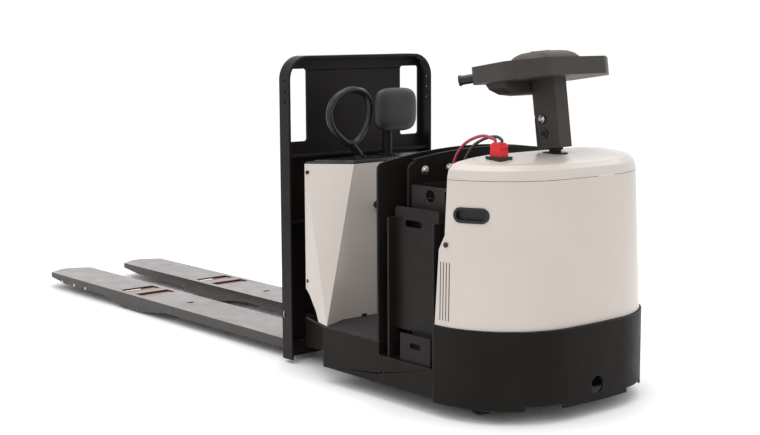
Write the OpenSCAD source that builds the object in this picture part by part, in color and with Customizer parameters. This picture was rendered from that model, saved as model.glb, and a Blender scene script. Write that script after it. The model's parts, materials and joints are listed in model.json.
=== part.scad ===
// Electric pallet truck with a centre rider platform.
// X runs from the fork tips (-) to the drive end (+), Y across, Z up, ground at Z = 0.
// Inside the modules x = 0 is the plane between the battery bay and the drive bay.
// truck() moves the drawing so that X = 0 is the middle of the overall length.

/* [Overall] */
// Width over the skirts
truck_w = 914; // [840:1:1000]
// Length of the drive bay in front of the battery bay
drive_len = 360; // [320:1:430]
// Length of the battery bay
bay_len = 300; // [270:1:360]
// Length of the side step beside the operator
step_len = 335; // [280:1:400]
// Distance from the step to the load face of the backrest
carriage_gap = 371; // [350:1:440]
// Length of the forks from the load face to the tip
fork_len = 2205; // [1850:1:2600]
// Height that the forks rise
lift = 150; // [100:1:155]

/* [Skirt and step] */
// Thickness of the skirt plates
skirt_t = 8; // [5:0.5:12]
// Clearance under the skirts
ground_gap = 60; // [45:1:80]
// How much deeper the rim of the drive skirt hangs
lip_drop = 11; // [4:1:20]
// Width of the low middle of the rim, between its two notches
lip_w = 335; // [280:1:380]
// Height of the operator floor
step_h = 217; // [190:1:250]
// Height of the sill beside the battery
sill_h = 167; // [140:1:185]
// Height of the drive skirt
skirt_h = 329; // [290:1:380]
// How much narrower the drive bay is at its front, each side
skirt_taper = 34; // [0:1:60]
// Corner radius of the drive bay in plan
corner_r = 340; // [300:1:345]
// Radius of the bowed front
bow_r = 2300; // [1600:50:4000]
// Thickness of the rubber floor mat
mat_t = 5; // [3:0.5:10]
// Radius of the tow hole
tow_r = 31; // [20:1:38]
// Height of the tow hole
tow_z = 108; // [98:1:130]

/* [Hood] */
// Wall of the hood mouldings
hood_t = 4; // [3:0.5:8]
// Height of the seam between hood body and hood lid
seam_h = 843; // [780:1:880]
// Height of the lid edge above the seam
lid_h = 58; // [40:1:80]
// Crown of the lid above its edge
crown_h = 14; // [5:1:25]
// How far the front of the hood leans in at the seam
front_lean = 24; // [10:1:40]
// How far each side of the hood leans in at the seam
side_lean = 10; // [4:1:20]
// Gap between two covers
seam_gap = 1.5; // [1:0.5:4]
// Length of a vent slot
vent_len = 206; // [120:1:230]
// Width of a vent slot
vent_w = 5; // [3:0.5:7]

/* [Battery bay] */
// Thickness of the wall plates
wall_t = 8; // [4:0.5:10]
// Height of the wall at the centreline
wall_h = 914; // [820:1:960]
// Height of the wall at its corners
wall_side_h = 876; // [800:1:900]
// Distance from the wall to the battery stop plate
stop_gap = 74; // [50:1:90]
// Width of the battery, across the truck
battery_w = 740; // [640:1:760]
// Height of the battery
battery_h = 630; // [560:1:640]
// Height of the battery side panel's upper edge
panel_top = 722; // [680:1:760]
// Thickness of the battery side panels and gates
panel_t = 5; // [3:0.5:8]

/* [Operator tower] */
// Height of the white panel
tower_h = 828; // [760:1:880]
// Half width of the panel's front at the top
tower_top_w = 245; // [200:1:280]
// Half width of the panel's front at the floor
tower_floor_w = 311; // [280:1:340]
// Half width of the tower at its rear
tower_rear_w = 381; // [350:1:400]
// Wall of the panel
tower_t = 3; // [2:0.5:5]
// Width, height and thickness of the back pad
pad_w = 222; // [160:1:260]
pad_h = 182; // [140:1:210]
pad_t = 60; // [40:1:80]
// Height of the pad's centre
pad_z = 1031; // [980:1:1080]
// Radius of the pad's post
post_r = 20; // [14:1:26]
// Radius of the grab bar tube
grab_r = 14; // [11:0.5:18]

/* [Backrest and forks] */
// Width of the load backrest
back_w = 762; // [700:1:840]
// Height of the load backrest
back_h = 1248; // [1000:1:1500]
// Thickness of the backrest plate and flange
back_t = 10; // [6:0.5:12]
// Depth of the backrest with its flange
back_d = 64; // [50:1:80]
// Radius of the backrest's top corners
back_r = 95; // [60:1:130]
// Overall width over the forks
fork_span = 668; // [540:1:700]
// Width of one fork
fork_w = 233; // [200:1:245]
// Lowered height of the fork tops
fork_top = 80; // [78:0.5:90]
// Depth of the fork sides
fork_d = 42; // [36:1:46]
// Thickness of the fork plates
fork_t = 8; // [6:0.5:10]
// Radius of a load wheel
load_r = 38; // [34:0.5:39]
// Width of a load wheel
load_w = 166; // [120:1:170]
// Distance between the two load wheels of a fork
load_pitch = 140; // [110:1:160]
// Distance from the fork tip to the load wheels' midpoint
load_x = 851; // [700:1:950]
// Length of the load wheel arm
arm_len = 340; // [300:1:360]

/* [Drive unit and casters] */
// Distance from the battery bay to the steering axis
steer_x = 143; // [125:1:160]
// Radius and width of the drive wheel
drive_r = 127; // [115:1:127]
drive_w = 92; // [70:1:100]
// Radius and width of a caster wheel
caster_r = 60; // [50:1:65]
caster_w = 42; // [30:1:50]
// Distance of the casters from the centreline
caster_y = 305; // [290:1:312]

/* [Steering handle] */
// How far the column leans towards the operator
column_lean = 8; // [4:1:12]
// Depth and width of the column
column_d = 111; // [104:1:125]
column_w = 62; // [56:1:80]
// Height of the column's tilt pin
pivot_z = 983; // [980:1:1010]
// Height from the tilt pin to the underside of the head
head_rise = 193; // [175:1:210]
// Height of the head's guard band
band_h = 62; // [50:1:75]
// Half width of the head
head_w = 262; // [220:1:300]
// Radius of the twist grips
grip_r = 17; // [14:0.5:20]

/* [Hidden] */
$fn = 48;

half_w = truck_w / 2;
step_x = -bay_len - step_len;
back_x = step_x - carriage_gap;
tip_x = back_x - fork_len;
mid_x = (drive_len + tip_x) / 2;

// Clearances: running fit on a radius, between moving plates, and bolted seats
fit = 0.05;
slide_gap = 0.5;
seat_gap = 0.3;

// Colours
steel_dark = [0.11, 0.10, 0.09];
steel_grey = [0.26, 0.24, 0.22];
hood_white = [0.86, 0.84, 0.82];
bare_steel = [0.62, 0.62, 0.62];
rubber_black = [0.08, 0.08, 0.08];
moulding = [0.28, 0.25, 0.24];

module truck() { translate([-mid_x, 0, 0]) children(); }
// Extrudes a (y, z) outline along X, or an (x, z) outline along Y
module along_x(x, len) { translate([x, 0, 0]) rotate([90, 0, 90]) linear_extrude(len) children(); }
module along_y(y, len) { translate([0, y + len, 0]) rotate([90, 0, 0]) linear_extrude(len) children(); }
module both_sides() { children(); mirror([0, 1, 0]) children(); }
module block(x0, x1, y0, y1, z0, z1) { translate([x0, y0, z0]) cube([x1 - x0, y1 - y0, z1 - z0]); }
module rod_x(x0, x1, y, z, r) { translate([x0, y, z]) rotate([0, 90, 0]) cylinder(r = r, h = x1 - x0); }
module rod_y(y0, y1, x, z, r) { translate([x, y1, z]) rotate([90, 0, 0]) cylinder(r = r, h = y1 - y0); }
module rod_z(z0, z1, x, y, r) { translate([x, y, z0]) cylinder(r = r, h = z1 - z0); }
// Rounded rectangle centred on the origin, from exact arcs
module round_rect(w, h, r) {
    square([w - 2 * r, h], center = true);
    square([w, h - 2 * r], center = true);
    for (sx = [-1, 1], sy = [-1, 1]) translate([sx * (w / 2 - r), sy * (h / 2 - r)]) circle(r);
}

slope = skirt_taper / drive_len;
side_a = atan(slope);
// Centre of the corner arc that touches the tapered side and the bowed front
function corner_at(len, hw, r) =
    let (edge_y = hw - r / cos(side_a), bow_x = len - bow_r, qa = 1 + slope * slope,
         qb = -2 * (bow_x + edge_y * slope),
         qc = bow_x * bow_x + edge_y * edge_y - (bow_r - r) * (bow_r - r),
         cx = (-qb + sqrt(qb * qb - 4 * qa * qc)) / (2 * qa))
    [cx, edge_y - slope * cx];
// Corner arc of the plan on the +y side, from the side to the front
function corner_arc(len, hw, r) =
    let (c = corner_at(len, hw, r), a0 = 90 - side_a, a1 = atan2(c.y, c.x - len + bow_r))
    [for (k = [0 : 24]) let (a = a0 + (a1 - a0) * k / 24) [c.x + r * cos(a), c.y + r * sin(a)]];
// Half of the plan's outline on the +y side, from the rear to the middle of the front
function half_plan(len, hw, r, x0) =
    let (arc = corner_arc(len, hw, r), a1 = asin(arc[24].y / bow_r))
    concat([[x0, hw - slope * x0]], arc,
           [for (k = [1 : 4]) let (a = a1 * (1 - k / 4)) [len - bow_r + bow_r * cos(a), bow_r * sin(a)]]);
// Plan of the drive bay: tapered sides, bowed front and tangent corner arcs
module drive_plan(len, hw, r, x0 = 0) {
    side = half_plan(len, hw, r, x0);
    polygon(concat(side, [for (i = [len(side) - 2 : -1 : 0]) [side[i].x, -side[i].y]]));
}

// ---- Chassis ----
guide_y = 250;
guide_t = 8;
guide_w = 30;
guide_x0 = back_x + 76;
guide_x1 = back_x + 136;
tail_x = back_x + 44;
tail_z = ground_gap + 10;
tail_t = 12;
rail_w = 40;
deck_z = skirt_h - 10;
deck_t = 10;
floor_t = 8;
floor_z = step_h - mat_t;
inner_w = half_w - skirt_t;
caster_x = drive_len / 3 + 2;
caster_top = 152;
pedal_x = -bay_len - 92;
pedal_len = 120;
pedal_w = 150;
pedal_y = 95;
stem_w = 12;
pedal_gap = 0.8;

module side_plate() polygon([
    [step_x, ground_gap], [0, ground_gap], [0, sill_h], [-bay_len, sill_h], [-bay_len, step_h], [step_x, step_h]]);
module pedal_hole(z0, z1) block(pedal_x - pedal_len / 2 - pedal_gap, pedal_x + pedal_len / 2 + pedal_gap,
    pedal_y - pedal_w / 2 - pedal_gap, pedal_y + pedal_w / 2 + pedal_gap, z0, z1);
// Floor in front of the tower, out to the corners of the step
module floor_plan() {
    translate([step_x, -inner_w]) square([step_len, 2 * inner_w]);
    polygon([[foot_x, -foot_y], [foot_x, foot_y], [tower_x, tower_floor_w], [tower_x, -tower_floor_w]]);
}
module chassis() color(steel_dark) truck() {
    difference() {
        both_sides() along_y(inner_w, skirt_t) side_plate();
        rod_y(-half_w - 1, half_w + 1, -bay_len + 14, 102, 6);
    }
    // Operator floor with its pedal opening, carried on under the tower
    difference() {
        translate([0, 0, floor_z - floor_t]) linear_extrude(floor_t) union() { floor_plan(); foot_plan(6); }
        pedal_hole(0, step_h);
    }
    difference() {
        block(pedal_x - 22, pedal_x + 22, pedal_y - 90, pedal_y + 90, floor_z - 62, floor_z - 50);
        block(pedal_x - stem_w - seat_gap, pedal_x + stem_w + seat_gap,
              pedal_y - stem_w - seat_gap, pedal_y + stem_w + seat_gap, 0, step_h);
    }
    for (s = [-1, 1]) block(pedal_x - 22, pedal_x + 22, pedal_y + s * 86 - 4, pedal_y + s * 86 + 4,
                            floor_z - 62, floor_z - floor_t);
    block(step_x, step_x + 8, -inner_w, inner_w, ground_gap, floor_z - floor_t);
    block(step_x + 8, 0, -inner_w, inner_w, ground_gap, ground_gap + 8);
    block(-bay_len - wall_t, -bay_len, -inner_w, inner_w, ground_gap + 8, floor_z - floor_t);
    block(-bay_len - wall_t, -bay_len, -inner_w, inner_w, floor_z, step_h);
    // Battery floor
    block(-bay_len, -8, -inner_w, inner_w, sill_h - 8, sill_h);
    block(-8, 0, -inner_w, inner_w, ground_gap + 8, sill_h);
    // Tail frame that carries the tower and the lift guides
    both_sides() block(guide_x0, step_x, guide_y + guide_w, guide_y + guide_w + rail_w, tail_z, floor_z - floor_t);
    block(tail_x, step_x, -guide_y - guide_w, guide_y + guide_w, tail_z, tail_z + tail_t);
    // Caster outriggers with their swivel bores
    difference() {
        both_sides() block(0, caster_x + 58, caster_y - 62, caster_y + 58, caster_top, caster_top + 12);
        both_sides() rod_z(0, skirt_h, caster_x, caster_y, caster_pin_r + fit);
    }
    both_sides() block(0, caster_x + 58, caster_y - 70, caster_y - 62, caster_top, deck_z);
    // Deck over the drive wheel, with the slew ring's hole
    difference() {
        block(0, steer_x + 148, -caster_y + 62, caster_y - 62, deck_z, deck_z + deck_t);
        rod_z(deck_z - 1, deck_z + deck_t + 1, steer_x, 0, ring_r_out - 18);
    }
    block(0, 8, -inner_w + 1, inner_w - 1, ground_gap + 8, deck_z + deck_t);
}

module drive_skirt() color(steel_dark) truck() difference() {
    rim_z = ground_gap - lip_drop;
    translate([0, 0, rim_z]) linear_extrude(skirt_h - rim_z) drive_plan(drive_len, half_w, corner_r);
    translate([0, 0, -1]) linear_extrude(skirt_h + 2)
        drive_plan(drive_len - skirt_t, half_w - skirt_t, corner_r - skirt_t, -1);
    // Two notches in the lower edge of the front
    both_sides() block(drive_len / 2, drive_len + 1, lip_w / 2, 300, 0, ground_gap + 4);
    rod_x(drive_len - 60, drive_len + 1, 0, tow_z, tow_r);
}

module floor_mat() color(rubber_black) truck() difference() {
    translate([0, 0, floor_z]) linear_extrude(mat_t) difference() {
        floor_plan();
        translate([-bay_len - wall_t - 1, -half_w]) square([wall_t + 2, truck_w]);
        foot_plan(-1);
    }
    pedal_hole(0, step_h + 1);
}

// ---- Battery bay ----
wall_corner_r = 28;
wall_bow = ((half_w - wall_corner_r) * (half_w - wall_corner_r) / (wall_h - wall_side_h)
            + (wall_h - wall_side_h)) / 2;
stop_x = -bay_len + stop_gap;
stop_y = 380;
battery_x0 = stop_x + wall_t + 4;
battery_x1 = -12;
case_t = 5;
panel_y = 412;
panel_x0 = -bay_len + 52;
panel_x1 = -14;
gate_top = sill_h + 102;
gate_x0 = -190;
gate_x1 = -28;

// (y, z) outline with an arched top and rounded upper corners
module arched(hw, z0) intersection() {
    union() {
        translate([-hw, z0]) square([2 * hw, wall_side_h - wall_corner_r - z0]);
        translate([-hw + wall_corner_r, z0]) square([2 * (hw - wall_corner_r), wall_h - z0]);
        for (s = [-1, 1]) translate([s * (hw - wall_corner_r), wall_side_h - wall_corner_r]) circle(wall_corner_r);
    }
    translate([0, wall_h - wall_bow]) circle(wall_bow, $fn = 720);
}
module bay_wall() color(steel_dark) truck() {
    along_x(-bay_len - wall_t, wall_t) arched(half_w - 1, step_h);
}
module battery_stop() color(steel_dark) truck() {
    along_x(stop_x, wall_t) arched(stop_y, sill_h);
    both_sides() block(-bay_len, stop_x, 300, 308, sill_h, sill_h + 300);
}
module battery() color(rubber_black) truck() {
    hw = battery_w / 2;
    top = sill_h + battery_h;
    difference() {
        block(battery_x0, battery_x1, -hw, hw, sill_h, top);
        block(battery_x0 + case_t, battery_x1 - case_t, -hw + case_t, hw - case_t, sill_h + case_t, top + 1);
        // Half-round lifting eyes in the two ends
        rod_y(-hw - 1, hw + 1, (battery_x0 + battery_x1) / 2, top - 34, 24);
    }
    // Twelve cells in a row with their vent caps
    cells = 12;
    pitch = (battery_w - 2 * case_t - 2) / cells;
    for (i = [0 : cells - 1]) {
        y = -hw + case_t + 1 + i * pitch;
        block(battery_x0 + case_t + 1, battery_x1 - case_t - 1, y, y + pitch - 1, sill_h + case_t, top - 60);
        rod_z(top - 60, top - 46, battery_x0 + 60, y + pitch / 2, 13);
        rod_z(top - 60, top - 48, battery_x1 - 60, y + pitch / 2, 9);
    }
}
// Half-round ends on a slot of length len and height 2r
module slot_2d(len, r) {
    square([len - 2 * r, 2 * r], center = true);
    for (s = [-1, 1]) translate([s * (len / 2 - r), 0]) circle(r);
}
module battery_panel() difference() {
    along_y(panel_y, panel_t) translate([(panel_x0 + panel_x1) / 2, (panel_top + gate_top + 6) / 2])
        round_rect(panel_x1 - panel_x0, panel_top - gate_top - 6, 10);
    along_y(panel_y - 1, panel_t + 2) translate([-150, panel_top - 58]) slot_2d(92, 13);
}
module right_battery_panel() color(steel_dark) truck() mirror([0, 1, 0]) battery_panel();
module left_battery_panel() color(steel_dark) truck() battery_panel();
module battery_gates() color(steel_grey) truck() both_sides() {
    difference() {
        along_y(half_w - skirt_t - 8, panel_t) translate([(gate_x0 + gate_x1) / 2, (gate_top + sill_h) / 2])
            round_rect(gate_x1 - gate_x0, gate_top - sill_h, 4);
        along_y(half_w - 40, 60) translate([-108, gate_top - 40]) slot_2d(60, 11);
    }
    // Guides that the gate and the side panel slide down into
    for (x = [panel_x0 - 8 - slide_gap, panel_x1 + slide_gap])
        block(x, x + 8, panel_y - 8, half_w - skirt_t, sill_h, panel_top - 40);
}
module bulkhead() color(steel_dark) truck() {
    block(-8, -2, -panel_y + 12, panel_y - 12, sill_h, seam_h - 50);
    // Motor controller on its cooling plate
    block(-2, 6, -190, 190, deck_z + 60, deck_z + 330);
    difference() {
        block(6, 46, -170, -20, deck_z + 80, deck_z + 310);
        for (i = [0 : 5]) block(26, 47, -160 + i * 24, -148 + i * 24, deck_z + 90, deck_z + 300);
    }
}

// ---- Hood ----
hood_in = 4;
hood_r = corner_r - 8;
lid_top = seam_h + lid_h;
lid_r = 50;
screw_r = 9;
screw_shank = 4;
screw_x = 50;
screw_z = 616;
latch_x = 140;
latch_z = 724;
latch_len = 122;
latch_h = 44;

// One thin slice of the hood at height z; t from 0 at the skirt to 1 at the seam
module hood_slice(z, t, inset, h = 1) {
    translate([0, 0, z]) linear_extrude(h)
        drive_plan(drive_len - hood_in * 3 - front_lean * t - inset, half_w - hood_in - side_lean * t - inset,
                   hood_r - max(inset, 0), inset > 0 ? -2 : 0);
}
module hood_solid(inset) hull() {
    hood_slice(skirt_h - (inset > 0 ? 1 : 0), 0, inset);
    hood_slice(seam_h - seam_gap - (inset > 0 ? 0 : 1), 1, inset);
}
module hood_body() color(hood_white) truck() difference() {
    hood_solid(0);
    hood_solid(hood_t);
    // Rear edge: a slight lean, then a step forward above the sill of the bay
    along_y(-half_w, truck_w) polygon([[-1, skirt_h - 1], [3, skirt_h], [17, 597], [43, 648],
                                       [49, seam_h], [49, seam_h + 1], [-1, seam_h + 1]]);
    // Four vent slots on each side
    for (i = [0 : 3]) block(24 + i * 13, 24 + i * 13 + vent_w, -half_w, half_w,
                            skirt_h + 20, skirt_h + 20 + vent_len);
    both_sides() on_side(latch_x, latch_z) along_y(-40, 60) slot_2d(latch_len, latch_h / 2);
    both_sides() on_side(screw_x, screw_z) rod_y(-40, 20, 0, 0, screw_shank + 1);
}
module lid_solid(inset) hull() {
    hood_slice(seam_h - (inset > 0 ? 2 : 0), 1, inset);
    for (a = [0 : 30 : 90])
        hood_slice(lid_top - lid_r + lid_r * sin(a) - inset - 1, 1, inset + lid_r * (1 - cos(a)));
    hood_slice(lid_top + crown_h * 0.6 - inset - 1, 1, 110 + inset);
    hood_slice(lid_top + crown_h - inset - 1, 1, 180 + inset);
}
module hood_lid() color(hood_white) truck() difference() {
    lid_solid(0);
    lid_solid(hood_t);
    block(-3, 49, -half_w, half_w, seam_h - 4, lid_top + crown_h + 2);
    translate([plug_x, plug_y, seam_h]) linear_extrude(lid_h + crown_h + 2)
        round_rect(plug_w + 24 + 2 * seat_gap, plug_d + 26 + 2 * seat_gap, 10 + seat_gap);
    rod_z(seam_h, lid_top + crown_h + 1, steer_x, 0, neck_r + 2);
}
// Places a drawing on the hood's leaning side or on its rounded corner, +Y outwards
module on_side(x, z) {
    t = (z - skirt_h) / (seam_h - skirt_h);
    hw = half_w - hood_in - side_lean * t;
    c = corner_at(drive_len - hood_in * 3 - front_lean * t, hw, hood_r);
    round = x > c.x + hood_r * sin(side_a);
    y = round ? c.y + sqrt(hood_r * hood_r - (x - c.x) * (x - c.x)) : hw - slope * x;
    turn = round ? asin((x - c.x) / hood_r) : side_a;
    translate([x, y, z]) rotate([atan(side_lean / (seam_h - skirt_h)), 0, -turn]) children();
}
module latch_slot(y0, len, grow) on_side(latch_x, latch_z) along_y(y0, len)
    slot_2d(latch_len - 4 + 2 * grow, latch_h / 2 - 2 + grow);
// Cup behind the hood's wall, with a rim that follows the rounded corner
module latch_bezels() color(rubber_black) truck() {
    intersection() {
        hood_solid(-3);
        both_sides() difference() { latch_slot(-26, 66, 0); latch_slot(-22, 66, -3); }
    }
    difference() {
        intersection() {
            hood_solid(-3);
            both_sides() difference() { latch_slot(-10, 50, 7); latch_slot(-12, 60, -3); }
        }
        hood_solid(-0.6);
    }
}
module cover_screws() color(rubber_black) truck() both_sides() on_side(screw_x, screw_z) {
    rod_y(0.4, 5.4, 0, 0, screw_r);
    rod_y(-16, 0.5, 0, 0, screw_shank);
}

// ---- Battery connector and its cables ----
plug_x = 136;
plug_y = -274;
plug_z = lid_top + crown_h + 3;
plug_w = 54;
plug_d = 40;
plug_h = 42;
cable_r = 5.6;

module connector_base() color(rubber_black) truck() {
    translate([plug_x, plug_y, lid_top - 8]) linear_extrude(plug_z - lid_top + 8)
        round_rect(plug_w + 24, plug_d + 26, 10);
}
module connector() color([0.78, 0.10, 0.12]) truck() {
    difference() {
        translate([plug_x, plug_y, plug_z]) linear_extrude(plug_h) round_rect(plug_w, plug_d, 4);
        for (s = [-1, 1]) translate([plug_x + s * 27, plug_y, plug_z + 26]) rod_y(-30, 30, 0, 0, 5);
    }
    translate([plug_x, plug_y, plug_z + plug_h]) linear_extrude(5) difference() {
        round_rect(plug_w - 10, plug_d - 8, 4);
        translate([0, 6]) square([14, 18], center = true);
    }
}

// Points on a smooth curve through the given points (Catmull-Rom)
function spline_pt(p, i, t) =
    let (a = p[max(i - 1, 0)], b = p[i], c = p[i + 1], d = p[min(i + 2, len(p) - 1)])
    0.5 * (2 * b + (c - a) * t + (2 * a - 5 * b + 4 * c - d) * t * t + (3 * b - a - 3 * c + d) * t * t * t);
function spline(p, n) = [for (i = [0 : len(p) - 2], k = [0 : n - 1]) spline_pt(p, i, k / n), p[len(p) - 1]];
function unit(v) = v / norm(v);
// Frames carried along the path, so that the tube doesn't twist
function carry(n, t) = unit(n - (n * t) * t);
function tangent(p, i) = unit(p[min(i + 1, len(p) - 1)] - p[max(i - 1, 0)]);
function frames(p, i, n) =
    let (m = carry(n, tangent(p, i)))
    i == len(p) - 1 ? [m] : concat([m], frames(p, i + 1, m));
module tube(p, r, sides, up) {
    rings = len(p);
    normals = frames(p, 0, up);
    pts = [for (i = [0 : rings - 1]) let (t = tangent(p, i), n = normals[i], b = cross(t, n))
           for (k = [0 : sides - 1]) p[i] + r * (cos(360 * k / sides) * n + sin(360 * k / sides) * b)];
    sides_f = [for (i = [0 : rings - 2], k = [0 : sides - 1])
               let (j = (k + 1) % sides, q = i * sides)
               [q + k, q + sides + k, q + sides + j, q + j]];
    caps = [[for (k = [0 : sides - 1]) k], [for (k = [sides - 1 : -1 : 0]) (rings - 1) * sides + k]];
    polyhedron(pts, concat(sides_f, caps), convexity = 6);
}
// The same for a closed loop that lies in one plane, square to up
function closed_spline(p, n) =
    let (m = len(p), q = [for (i = [-1 : m + 1]) p[(i + m) % m]])
    [for (i = [1 : m], k = [0 : n - 1]) spline_pt(q, i, k / n)];
module ring(p, r, sides, up) {
    rings = len(p);
    pts = [for (i = [0 : rings - 1]) let (t = unit(p[(i + 1) % rings] - p[(i + rings - 1) % rings]), b = cross(t, up))
           for (k = [0 : sides - 1]) p[i] + r * (cos(360 * k / sides) * up + sin(360 * k / sides) * b)];
    polyhedron(pts, [for (i = [0 : rings - 1], k = [0 : sides - 1])
        let (j = (k + 1) % sides, q = i * sides, w = ((i + 1) % rings) * sides) [q + k, w + k, w + j, q + j]],
        convexity = 6);
}
// Routes from the battery terminals over the lid's rear edge to the connector
positive_route = [[-100, -290, 738], [-96, -290, 800], [-84, -290, 860], [-58, -290, 915], [-20, -289, 953],
                  [28, -288, 976], [72, -286, 986], [108, -284, 980], [125, -283, 975], [126, -283, 966.5]];
negative_route = [[-72, -273, 750], [-70, -270, 800], [-58, -266, 860], [-36, -264, 908], [-4, -264, 944],
                  [36, -265, 966], [78, -266, 980], [118, -267, 984], [141, -267, 975], [142, -267, 966.5]];

module cable_positive() color([0.62, 0.10, 0.18]) truck() tube(spline(positive_route, 4), cable_r, 10, [0, 1, 0]);
module cable_negative() color(steel_grey) truck() tube(spline(negative_route, 4), cable_r, 10, [0, 1, 0]);

// ---- Operator tower ----
tower_x = -690;
tower_rear = -842;
foot_x = step_x + 4;
foot_y = 440;

// Plan of the tower's flared foot, drawn in by inset
module foot_plan(inset) polygon(concat(
    [for (p = tower_floor(inset)) [p.x, -p.y]], [for (i = [2 : -1 : 0]) tower_floor(inset)[i]]));
// Outline of the tower as [x, half width] pairs at the floor and at the top
function tower_floor(inset) = [[tower_rear - inset, tower_rear_w - inset], [foot_x - 1.5 * inset, foot_y - 1.2 * inset],
                               [tower_x - inset, tower_floor_w - 0.3 * inset]];
function tower_roof(inset) = [[tower_rear - inset, tower_rear_w - inset], [tower_x - 10 - inset, tower_top_w - 0.3 * inset]];
function side_points(list, s, z) = [for (p = list) [p.x, s * p.y, z]];
module tower_body(inset) {
    below = inset > 0 ? 1 : 0;
    fl = tower_floor(inset);
    tp = tower_roof(inset);
    pts = concat(side_points(fl, -1, step_h - below), side_points(tp, -1, tower_h + below),
                 side_points(fl, 1, step_h - below), side_points(tp, 1, tower_h + below));
    // 0 rear, 1 foot, 2 front at the floor; 3 rear, 4 front at the top; the other side adds 5
    polyhedron(pts, [[0, 3, 1], [1, 3, 4], [1, 4, 2], [5, 6, 8], [6, 9, 8], [6, 7, 9], [2, 4, 9, 7],
                     [0, 5, 8, 3], [3, 8, 9, 4], [0, 1, 2], [0, 2, 7, 5], [5, 7, 6]]);
}
module tower_panel() color(hood_white) truck() difference() {
    tower_body(0);
    tower_body(tower_t);
    // Lower rear corner cut away above the tail frame
    along_y(-half_w, truck_w) polygon([[tower_rear - 1, step_h - 1], [tower_rear - 1, 330], [tower_rear + 34, 312],
                                       [tower_rear + 100, step_h + 40], [tower_rear + 128, step_h - 1]]);
    rod_x(tower_x - 15, tower_x + 40, knob_y, knob_z, stem_r + 6);
    for (y = [-205, 0, 205]) block(tower_x - 30, tower_x + 10, y - 14, y + 14, step_h - 1, step_h + 9);
}
module tower_cover() color(rubber_black) truck() {
    translate([0, 0, tower_h + seat_gap]) linear_extrude(8) polygon([
        [tower_rear, -tower_rear_w], [tower_x - 10, -tower_top_w], [tower_x - 10, tower_top_w], [tower_rear, tower_rear_w]]);
    translate([0, 0, tower_h + 8]) linear_extrude(6) polygon([
        [tower_rear + 14, -tower_rear_w + 40], [tower_x - 26, -tower_top_w + 8],
        [tower_x - 26, tower_top_w - 8], [tower_rear + 14, tower_rear_w - 40]]);
}
knob_bar = 26;
module tower_frame() color(steel_dark) truck() {
    guide_z = tail_z + tail_t;
    // Two upright guide channels for the carriage shoes
    both_sides() difference() {
        block(guide_x0, guide_x1, guide_y - guide_w, guide_y + guide_w, guide_z, tower_h - 10);
        block(guide_x0 - 1, guide_x1 - guide_t, guide_y - guide_w + guide_t, guide_y + guide_w - guide_t, 0, tower_h);
    }
    // Cross plates between the channels
    for (z = [floor_z, 470, tower_h - 60])
        block(guide_x1 - guide_t, guide_x1, -guide_y + guide_w, guide_y - guide_w, z, z + 50);
    both_sides() block(guide_x1, tower_rear + 24, guide_y - 18, guide_y - 12, floor_z, tower_h - 12);
    // Side plates and top plate inside the white panel
    both_sides() block(tower_rear + 16, tower_x - 14, guide_y - 18, guide_y - 12, floor_z, tower_h - 12);
    block(tower_rear + 20, tower_x - 60, -guide_y + 12, guide_y - 12, tower_h - 12, tower_h);
    // Bar that holds the power knob's stem
    difference() {
        block(tower_x - knob_bar, tower_x - knob_bar + 10, -guide_y + 12, knob_y + 24, knob_z - 15, knob_z + 15);
        rod_x(tower_x - 40, tower_x, knob_y, knob_z, stem_r + fit);
    }
}
module hydraulic_unit() color(bare_steel) truck() {
    // Tank, pump head and pump motor behind the panel
    block(tower_rear + 30, tower_x - 30, -200, 20, floor_z, step_h + 210);
    rod_z(step_h + 210, step_h + 250, tower_x - 82, -90, 52);
    rod_z(step_h + 250, step_h + 400, tower_x - 82, -90, 45);
    block(tower_rear + 40, tower_x - 60, 50, 150, floor_z, step_h + 90);
    rod_z(step_h + 90, step_h + 104, tower_x - 90, 100, 22);
}

// Pad post and pad
post_x = tower_x - 98;
pad_x = post_x + post_r + pad_t / 2 + 4;
module pad_post() color(steel_dark) truck() {
    rod_z(tower_h + 14, pad_z + 40, post_x, 0, post_r);
    rod_z(tower_h + 14, tower_h + 22, post_x, 0, post_r + 18);
    block(post_x, pad_x - pad_t / 2 - seat_gap, -50, 50, pad_z - 40, pad_z + 40);
}
module back_pad() color(rubber_black) truck() {
    translate([pad_x, 0, pad_z]) hull() for (sx = [-1, 1]) translate([sx * (pad_t / 2 - 1), 0, 0])
        rotate([90, 0, 90]) linear_extrude(2, center = true)
            round_rect(pad_w - (sx > 0 ? 26 : 0), pad_h - (sx > 0 ? 26 : 0), 58);
}

// Grab bar: a drop-shaped loop on a stem, in the plane across the truck
grab_x = tower_x - 90;
grab_y = -150;
grab_foot = tower_h + 14;
grab_loop = [[-196, 903], [-216, 905], [-250, 928], [-284, 962], [-302, 1006], [-296, 1050], [-266, 1088],
             [-222, 1108], [-178, 1114], [-134, 1104], [-106, 1076], [-98, 1036], [-106, 992], [-126, 952],
             [-152, 920], [-176, 904]];
module grab_bar() color(rubber_black) truck() {
    ring([for (p = closed_spline(grab_loop, 3)) [grab_x, p.x, p.y]], grab_r, 12, [1, 0, 0]);
    stem = [grab_loop[0].x - grab_y, grab_loop[0].y - grab_foot - 10];
    translate([grab_x, grab_y, grab_foot + 10]) rotate([-atan2(stem.x, stem.y), 0, 0])
        cylinder(r = grab_r + 1.2, h = norm(stem) - 5);
    rod_z(grab_foot, grab_foot + 10, grab_x, grab_y, grab_r + 14);
}

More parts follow.
